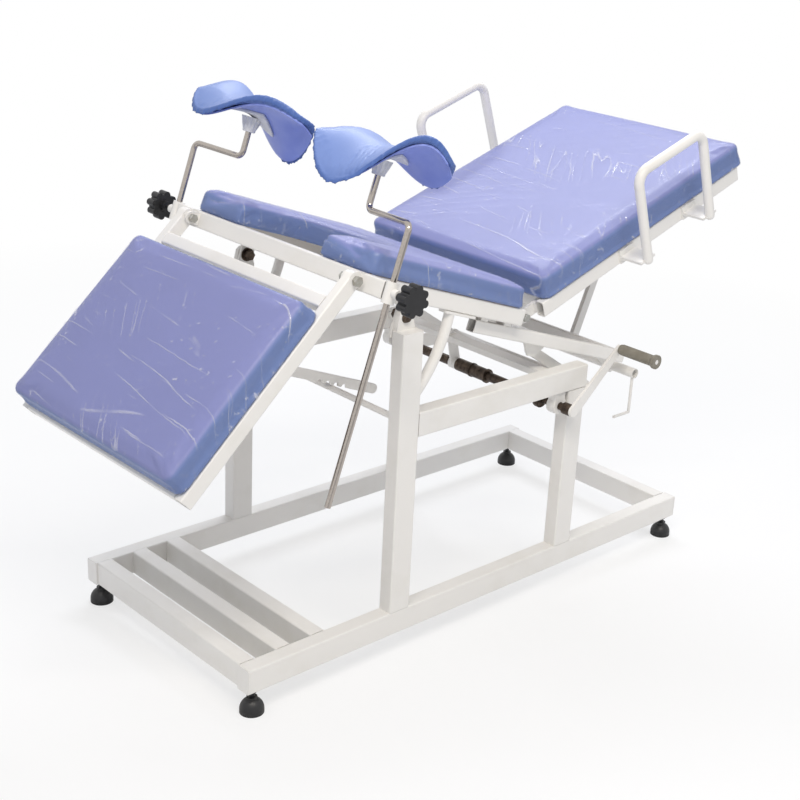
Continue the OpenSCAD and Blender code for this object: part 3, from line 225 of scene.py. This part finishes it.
powder = makePowderCoat()
vinylSkin = makeVinyl("calenderedVinyl", vinyl["top"], vinyl["side"])
# pad vinyl: the second, darker colour is painted shade on the downward-facing rim
holderSkin = makeVinyl("padVinyl", "#6d85c0", "#4a67a8")
filmSkin = makeFilm()
chromeSkin = makeChrome()
# black ABS, lightly eroded mould: soft grey shine on the lobes
blackSkin = makePlain("mouldedBlackAbs", "#161618", "#222224", 0.42, 0.0, 30, 0.9)
# soft taupe PVC sleeve, dipped: matt, slightly dusty
gripSkin = makePlain("taupePvcGrip", "#8a8579", "#7a7468", 0.55, 0.0, 25, 1.2)
# black oxide steel, oiled: brownish with rubbed patches
oxideSkin = makePlain("oiledBlackOxideSteel", "#3d332c", "#6a5d52", 0.36, 0.85, 14, 0.8)
# bright zinc plate with a yellowish passivate
zincSkin = makePlain("zincPlatedSteel", "#b9bab8", "#a39f93", 0.32, 0.9, 9, 0.7)
# injection-moulded lavender ABS shell, plain satin
shellSkin = makePlain("mouldedLavenderAbs", "#8c9be0", "#7d8fdb", 0.34, 0.0, 60, 1.5, 0.08)
# tempered hardboard under the cushions, fine fibre flecks
boardSkin = makePlain("brownHardboard", "#6b5648", "#5b483b", 0.62, 0.0, 4, 0.9, 0.25)
# natural nylon, slightly see-through, grey-white
nylonSkin = makePlain("naturalNylon", "#dcdde0", "#c9cbd1", 0.4, 0.0, 22, 1.4, 0.1)
print("stage: finishes made")

# where the sections stand: the tilting seat, the back turned on it and the leg section, whose x runs down the leg
stance = {"pivot": (-308, 0, 832), "tilt": 18.43, "backHinge": (397.5, 0, 55), "back": 37.87,
          "legHinge": (-185, 0, 55), "leg": 62.2}


def turned(degrees, axis):
    return Matrix.Rotation(math.radians(degrees), 4, axis)


def moved(x, y, z):
    return Matrix.Translation(Vector((x, y, z)) / 1000)


tiltAxes = moved(*stance["pivot"]) @ turned(stance["tilt"], "Y")
backAxes = tiltAxes @ moved(*stance["backHinge"]) @ turned(-stance["back"], "Y")
legAxes = tiltAxes @ moved(*stance["legHinge"]) @ turned(-stance["leg"], "Y") @ turned(180, "Z")


def shown(bm, name, skins, body, axes=None):
    mesh = bpy.data.meshes.new(name)
    bm.to_mesh(mesh)
    bm.free()
    piece = bpy.data.objects.new(name, mesh)
    bpy.context.scene.collection.objects.link(piece)
    for skin in skins:
        mesh.materials.append(skin)
    if axes is not None:
        mesh.transform(axes)
    if body:
        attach(piece, body)
    return piece


def shadeSmooth(piece):
    piece.data.polygons.foreach_set("use_smooth", [True] * len(piece.data.polygons))
    return piece


def block(bm, low, high):
    made = bmesh.ops.create_cube(bm, size=1.0)["verts"]
    size = [(h - l) / 1000 for l, h in zip(low, high)]
    middle = [(h + l) / 2000 for l, h in zip(low, high)]
    bmesh.ops.scale(bm, vec=size, verts=made)
    bmesh.ops.translate(bm, vec=middle, verts=made)
    return made


def rounded(bm, edges, radius, segments):
    bmesh.ops.bevel(bm, geom=edges, offset=radius / 1000, offset_type="OFFSET", segments=segments, profile=0.5,
                    affect="EDGES", material=-1, clamp_overlap=True)


def settled(piece):
    done = bpy.data.meshes.new_from_object(piece.evaluated_get(bpy.context.evaluated_depsgraph_get()))
    old = piece.data
    piece.modifiers.clear()
    piece.vertex_groups.clear()
    piece.data = done
    bpy.data.meshes.remove(old)
    return piece


def remeshed(piece, voxel):
    step = piece.modifiers.new("voxels", "REMESH")
    step.mode = "VOXEL"
    step.voxel_size = voxel / 1000
    return settled(piece)


def puffed(piece, cap, boardTop, pressure=4.0):
    start = [v.co.copy() for v in piece.data.vertices]
    held = piece.vertex_groups.new(name="board")
    held.add([i for i, co in enumerate(start) if co.z < boardTop / 1000], 1.0, "REPLACE")
    cloth = piece.modifiers.new("puff", "CLOTH")
    cloth.settings.vertex_group_mass = "board"
    cloth.settings.use_pressure = True
    cloth.settings.uniform_pressure_force = pressure
    cloth.settings.effector_weights.gravity = 0
    cloth.settings.quality = 4
    cloth.point_cache.frame_end = 20
    for step in range(1, 21):
        bpy.context.scene.frame_set(step)
    settled(piece)
    bpy.context.scene.frame_set(1)
    for v, co in zip(piece.data.vertices, start):
        off = v.co - co
        if off.length > cap / 1000:
            v.co = co + off.normalized() * cap / 1000
    return piece


def upright(edge):
    return abs(edge.verts[0].co.z - edge.verts[1].co.z) > 0.01


def rimEdges(bm, level):
    return [e for e in bm.edges if all(abs(v.co.z - level / 1000) < 1e-4 for v in e.verts)
            and len(e.link_faces) == 2 and e.calc_face_angle(0) > 0.8]


def cushionForm(spec):
    low, high = (0, -spec["width"] / 2, 0), (spec["length"], spec["width"] / 2, spec["thick"])
    bm = bmesh.new()
    block(bm, low, high)
    rounded(bm, [e for e in bm.edges if upright(e)], spec["corner"], 5)
    form = shown(bm, spec["name"], [], None)
    if "notch" in spec:
        wide, deep = spec["notch"]
        bm = bmesh.new()
        block(bm, (-40, -wide / 2, -40), (deep, wide / 2, spec["thick"] + 40))
        rounded(bm, [e for e in bm.edges if upright(e) and e.verts[0].co.x > 0], wide / 2 - 0.5, 14)
        cutter = shown(bm, "notchCutter", [], None)
        cut = form.modifiers.new("notch", "BOOLEAN")
        cut.operation = "DIFFERENCE"
        cut.object = cutter
        settled(form)
        bpy.data.objects.remove(cutter)
    bm = bmesh.new()
    bm.from_mesh(form.data)
    rounded(bm, rimEdges(bm, spec["thick"]), spec["edge"], 4)
    rounded(bm, rimEdges(bm, 0), spec["edge"] / 2, 2)
    bm.to_mesh(form.data)
    bm.free()
    return form


def band(value, low, high):
    return min(max((value - low) / (high - low), 0.0), 1.0)


def written(mesh, name, values):
    made = mesh.attributes.new(name, "FLOAT", "POINT")
    made.data.foreach_set("value", values)


def makeCushion(spec, axes, body, node):
    form = cushionForm(spec)
    remeshed(form, spec["voxel"])
    puffed(form, spec["cap"], spec["board"])
    mesh = form.data
    mesh.materials.append(vinylSkin)
    mesh.materials.append(boardSkin)
    for face in mesh.polygons:
        face.material_index = 1 if face.normal.z < -0.9 and face.center.z < 0.004 else 0
    # painted shade: 1 on the sides and underside, 0 on the top, set from each vertex's facing
    written(mesh, "paintedSideShade", [band(0.8 - v.normal.z, 0.0, 0.35) for v in mesh.vertices])
    shadeSmooth(form)
    cover = makeWrap(form, spec)
    for piece in (form, cover):
        piece.data.transform(axes)
        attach(piece, body)
    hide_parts(node)
    print("stage:", spec["name"], len(mesh.polygons), "faces, film", len(cover.data.polygons))
    return form, cover


def ridged(place, sharp):
    return max(0.0, 1 - abs(noise.noise(place)) * sharp)


def creaseAt(co, normal, spec):
    long, half = spec["length"] / 1000, spec["width"] / 2000
    onTop = band(normal.z, 0.3, 0.8)
    fan = 0.0
    for cx in (0.0, long):
        for cy in (-half, half):
            away = Vector((co.x - cx, co.y - cy, 0))
            r = away.length
            spoke = math.atan2(away.y, away.x) * spec["spokes"]
            fan += math.exp(-r / spec["fanReach"]) * ridged(Vector((spoke, r * 9, cx * 7 + cy * 13)), 5.0)
    slant = co.x * 0.8 + co.y * 0.6
    across = co.y * 0.8 - co.x * 0.6
    patch = band(noise.noise(co * 5 + Vector((3, 7, 1))), -0.1, 0.35)
    sweep = ridged(Vector((across * 42, slant * 5, 2.0)), 6.0) * patch
    other = ridged(Vector((slant * 34, across * 4, 9.0)), 7.0) * (1 - patch) * 0.7
    along = co.x if abs(normal.y) > abs(normal.x) else co.y
    pucker = ridged(Vector((along * 55, co.z * 9, normal.x * 3 + normal.y * 5)), 4.0)
    top = max(fan * 0.9, sweep, other)
    return top * onTop + pucker * (1 - onTop) * (0.5 + 0.5 * band(-co.z, -0.05, 0.0))


def makeWrap(form, spec):
    bm = bmesh.new()
    bm.from_mesh(form.data)
    long, half = spec["length"] / 1000, spec["width"] / 2000
    tuck = 0.03
    under = [f for f in bm.faces if f.normal.z < -0.7 and tuck < f.calc_center_median().x < long - tuck
             and abs(f.calc_center_median().y) < half - tuck]
    bmesh.ops.delete(bm, geom=under, context="FACES")
    bmesh.ops.subdivide_edges(bm, edges=bm.edges[:], cuts=1, use_grid_fill=True)
    bmesh.ops.smooth_vert(bm, verts=bm.verts[:], factor=0.5, use_axis_x=True, use_axis_y=True, use_axis_z=True)
    bm.normal_update()
    creases = []
    offs = []
    for v in bm.verts:
        crease = creaseAt(v.co, v.normal, spec)
        creases.append(crease)
        offs.append(v.normal * (spec["filmOff"] + spec["creaseHigh"] * crease) / 1000)
    for v, off in zip(bm.verts, offs):
        v.co += off
    cover = shown(bm, spec["name"] + "Film", [filmSkin], None)
    written(cover.data, "crease", creases)
    return shadeSmooth(cover)


seatPad = {"name": "seatPad", "length": 511, "width": 640, "thick": 52, "corner": 24, "edge": 11, "voxel": 6,
           "cap": 6, "board": 8, "notch": (300, 255), "filmOff": 1.0, "creaseHigh": 1.6, "spokes": 9, "fanReach": 0.12}
backPad = {"name": "backPad", "length": 790, "width": 640, "thick": 61, "corner": 24, "edge": 11, "voxel": 6,
           "cap": 6, "board": 8, "filmOff": 1.0, "creaseHigh": 1.6, "spokes": 9, "fanReach": 0.16}
legPad = {"name": "legPad", "length": 464, "width": 630, "thick": 55, "corner": 24, "edge": 11, "voxel": 6,
          "cap": 6, "board": 8, "filmOff": 1.0, "creaseHigh": 1.8, "spokes": 9, "fanReach": 0.16}
makeCushion(seatPad, tiltAxes @ moved(-154, 0, 75), "top", "seat_cushion")
makeCushion(backPad, backAxes @ moved(51, 0, 24), "back", "back_cushion")
makeCushion(legPad, legAxes @ moved(104, 0, 20), "leg", "leg_cushion")

# leg holders: one saddle shape, turned two ways on its rods, as the source has it
saddle = {"half": 159, "wide": 89, "bulge": 32, "pad": 18, "low": -9, "rise": (0.231, 0.221, -0.214),
          "lean": (-0.156, 0.855, 0.249), "shell": (-14.3, -9.4), "drop": 25.5, "gathers": 46}
stands = {"near": {"place": (-113.58, -212.37, 301), "yaw": -63}, "far": {"place": (-137.81, 222.7, 309), "yaw": 107.7}}


def saddleHalf(t):
    return math.sqrt(max(1 - abs(t) ** 2.6, 0.01))


def saddleHeight(t, w):
    k = w / saddleHalf(t)
    a, b, c = saddle["rise"]
    mean = saddle["half"] * (a * t + b * t * t + c * t ** 3)
    a, b, c = saddle["lean"]
    lean = saddle["half"] * (a + b * t + c * t * t)
    return mean + (1 - t * t) * (saddle["bulge"] * (1 - k * k) - lean * k)


def saddleSheet(reach, side, lift, cellsLong, cellsWide):
    bm = bmesh.new()
    bmesh.ops.create_grid(bm, x_segments=cellsLong, y_segments=cellsWide, size=1.0)
    for v in bm.verts:
        t = math.sin(math.pi / 2 * v.co.x) * reach
        y = v.co.y * side * saddleHalf(t)
        v.co = Vector((t * saddle["half"], y * saddle["wide"], saddleHeight(t, y) + lift)) / 1000
    return bm


def thickened(bm, thick):
    top = bmesh.ops.extrude_face_region(bm, geom=bm.faces[:])["geom"]
    bmesh.ops.translate(bm, vec=(0, 0, thick / 1000), verts=[g for g in top if isinstance(g, bmesh.types.BMVert)])
    bmesh.ops.recalc_face_normals(bm, faces=bm.faces[:])
    return bm


def rimOf(bm):
    return [e for e in bm.edges if len(e.link_faces) == 2 and e.calc_face_angle(0) > 0.9]


def makeHolderPad(side, axes):
    bm = thickened(saddleSheet(0.99, 0.985, saddle["low"] + 1.5, 44, 26), saddle["pad"] - 3)
    rounded(bm, rimOf(bm), 7, 4)
    piece = shown(bm, "holderPad" + side, [holderSkin], None)
    remeshed(piece, 3)
    puffed(piece, 3, -500, 3.0)
    mesh = piece.data
    bm = bmesh.new()
    bm.from_mesh(mesh)
    bmesh.ops.smooth_vert(bm, verts=bm.verts[:], factor=0.5, use_axis_x=True, use_axis_y=True, use_axis_z=True)
    bm.normal_update()
    rimShadeValues = []
    offs = []
    for v in bm.verts:
        t = v.co.x * 1000 / saddle["half"]
        w = v.co.y * 1000 / saddle["wide"] / saddleHalf(min(abs(t), 1.0))
        rim = band(max(abs(t) ** 1.4, abs(w)), 0.8, 0.97)
        around = math.atan2(v.co.y / saddle["wide"], v.co.x / saddle["half"])
        pleat = max(0.0, math.cos(around * saddle["gathers"] + 2.2 * noise.noise(v.co * 30))) ** 3
        under = band(0.55 - v.normal.z, 0.0, 0.7)
        # painted shade: the rim's downward-facing faces get the darker colour
        rimShadeValues.append(rim * band(0.75 - v.normal.z, 0.0, 0.5))
        offs.append(v.normal * (2.2 * pleat - 0.8) * rim * under / 1000)
    for v, off in zip(bm.verts, offs):
        v.co += off
    bm.to_mesh(mesh)
    bm.free()
    written(mesh, "paintedSideShade", rimShadeValues)
    shadeSmooth(piece)
    mesh.transform(axes)
    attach(piece, "holder_" + side.lower())
    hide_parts("holder_pad_" + side.lower())
    print("stage: holder pad", side, len(mesh.polygons))


def makeHolderShell(side, axes):
    low, high = saddle["shell"]
    bm = thickened(saddleSheet(0.95, 0.84, low, 40, 20), high - low)
    rounded(bm, rimOf(bm), 1.8, 3)
    piece = shadeSmooth(shown(bm, "holderShell" + side, [shellSkin], "holder_" + side.lower(), axes))
    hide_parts("holder_shell_" + side.lower())


def makeHolderBracket(side, axes):
    top = 9.0
    bm = bmesh.new()
    tall = (saddle["drop"] + top) / 1000
    bmesh.ops.create_cone(bm, cap_ends=True, segments=96, radius1=0.0135, radius2=0.023, depth=tall,
                          matrix=moved(0, 0, (top - saddle["drop"]) / 2))
    ring = [e for e in bm.edges if abs(e.verts[0].co.z - e.verts[1].co.z) > 0.01]
    bmesh.ops.subdivide_edges(bm, edges=ring, cuts=7, use_grid_fill=True)
    for v in bm.verts:
        rise = band(v.co.z, -saddle["drop"] / 1000, top / 1000)
        around = math.atan2(v.co.y, v.co.x)
        flute = 1 + 0.075 * band(rise, 0.12, 0.5) * math.cos(12 * around)
        v.co.x *= flute
        v.co.y *= flute
    plate = thickened(saddleSheet(0.31, 0.34, saddle["shell"][0] - 7.3, 12, 8), 7)
    rounded(plate, rimOf(plate), 2, 3)
    rest = bpy.data.meshes.new("plate")
    plate.to_mesh(rest)
    plate.free()
    bm.from_mesh(rest)
    bpy.data.meshes.remove(rest)
    bmesh.ops.create_cone(bm, cap_ends=True, segments=48, radius1=0.0150, radius2=0.0150, depth=0.006,
                          matrix=moved(0, 0, 4 - saddle["drop"]))
    piece = shadeSmooth(shown(bm, "holderBracket" + side, [nylonSkin], "holder_" + side.lower(),
                              axes))
    piece.data.set_sharp_from_angle(angle=math.radians(50))
    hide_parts("holder_bracket_" + side.lower())


for side, stand in (("Near", stands["near"]), ("Far", stands["far"])):
    axes = tiltAxes @ moved(*stand["place"]) @ turned(stand["yaw"], "Z")
    makeHolderPad(side, axes)
    makeHolderShell(side, axes)
    makeHolderBracket(side, axes)

finishOf = {"foot": blackSkin, "holder_rod": chromeSkin, "holder_shell": shellSkin, "holder_pad": holderSkin,
            "holder_bracket": nylonSkin, "clamp_knob": blackSkin, "crank_shaft": oxideSkin, "crank_grip": gripSkin,
            "torque_tube": oxideSkin, "tilt_bolts": oxideSkin, "leg_hinge_bolts": zincSkin,
            "back_hinge_bolts": zincSkin}
for name, piece in nodes.items():
    skin = next((s for key, s in finishOf.items() if name.startswith(key)), powder)
    piece.data.materials.clear()
    piece.data.materials.append(skin)

# camera: the place and lens fitted to the photograph
view = {"place": (-2.2991, -2.46054, 1.78449), "lens": 63.61, "shift": (-0.1157, 0.0080),
        "right": (0.704916, -0.705736, 0.070917), "up": (0.211403, 0.304486, 0.928761),
        "back": (-0.677054, -0.639707, 0.363832)}


def makeCamera():
    data = bpy.data.cameras.new("photoCamera")
    data.sensor_width = 36
    data.lens = view["lens"]
    data.shift_x, data.shift_y = view["shift"]
    data.clip_end = 90
    camera = bpy.data.objects.new("photoCamera", data)
    bpy.context.scene.collection.objects.link(camera)
    turn = Matrix((view["right"], view["up"], view["back"])).transposed()
    camera.matrix_world = Matrix.Translation(view["place"]) @ turn.to_4x4()
    bpy.context.scene.camera = camera


def lamp(name, place, target, size, power, colour):
    data = bpy.data.lights.new(name, "AREA")
    data.shape = "RECTANGLE"
    data.size, data.size_y = size
    data.energy = power
    data.color = linear(colour)[:3]
    made = bpy.data.objects.new(name, data)
    bpy.context.scene.collection.objects.link(made)
    aim = Vector(target) - Vector(place)
    made.matrix_world = Matrix.Translation(place) @ aim.to_track_quat("-Z", "Y").to_matrix().to_4x4()


def makeStudio():
    bm = bmesh.new()
    bmesh.ops.create_circle(bm, cap_ends=True, radius=40, segments=96)
    floor = shown(bm, "studioFloor", [], None)
    made = bpy.data.materials.new("paleStudioFloor")
    made.use_nodes = True
    tree = made.node_tree
    tree.nodes.clear()
    out = add(tree, "ShaderNodeOutputMaterial")
    paper = add(tree, "ShaderNodeBsdfDiffuse", {"Color": linear("#f4f4f4")})
    lit = add(tree, "ShaderNodeEmission", {"Color": grey(1.0), "Strength": 1.0})
    seen = add(tree, "ShaderNodeLightPath")
    place = add(tree, "ShaderNodeTexCoord")
    reach = add(tree, "ShaderNodeVectorMath", {}, {0: place.outputs["Object"]}, operation="LENGTH")
    fade = add(tree, "ShaderNodeMapRange", {"From Min": 1.3, "From Max": 3.4, "To Min": 0.62, "To Max": 1.0},
               {"Value": reach.outputs["Value"]})
    share = add(tree, "ShaderNodeMath", {}, {0: seen.outputs["Is Camera Ray"], 1: fade.outputs[0]},
                operation="MULTIPLY")
    mixed = add(tree, "ShaderNodeMixShader", {}, {0: share.outputs[0], 1: paper.outputs[0], 2: lit.outputs[0]})
    tree.links.new(mixed.outputs[0], out.inputs[0])
    floor.data.materials.append(made)
    world = bpy.data.worlds.new("paleStudio")
    world.use_nodes = True
    bpy.context.scene.world = world
    tree = world.node_tree
    tree.nodes.clear()
    out = add(tree, "ShaderNodeOutputWorld")
    path = add(tree, "ShaderNodeLightPath")
    one = add(tree, "ShaderNodeMath", {}, {0: path.outputs["Is Camera Ray"], 1: path.outputs["Is Glossy Ray"]},
              operation="MAXIMUM")
    two = add(tree, "ShaderNodeMath", {}, {0: one.outputs[0], 1: path.outputs["Is Transmission Ray"]},
              operation="MAXIMUM")
    soft = add(tree, "ShaderNodeBackground", {"Color": linear("#f3f5fa"), "Strength": 0.62})
    white = add(tree, "ShaderNodeBackground", {"Color": grey(1.0), "Strength": 1.0})
    mixed = add(tree, "ShaderNodeMixShader", {}, {0: two.outputs[0], 1: soft.outputs[0], 2: white.outputs[0]})
    tree.links.new(mixed.outputs[0], out.inputs[0])
    lamp("stripLeft", (-1.2, -1.6, 3.2), (0, 0, 0.6), (2.6, 0.25), 60, "#fff8ee")
    lamp("stripRight", (1.6, 1.4, 3.2), (0, 0, 0.6), (2.6, 0.25), 60, "#f4f7ff")


makeCamera()
makeStudio()
scene = bpy.context.scene
scene.view_settings.view_transform = "Standard"
print("stage: studio ready")
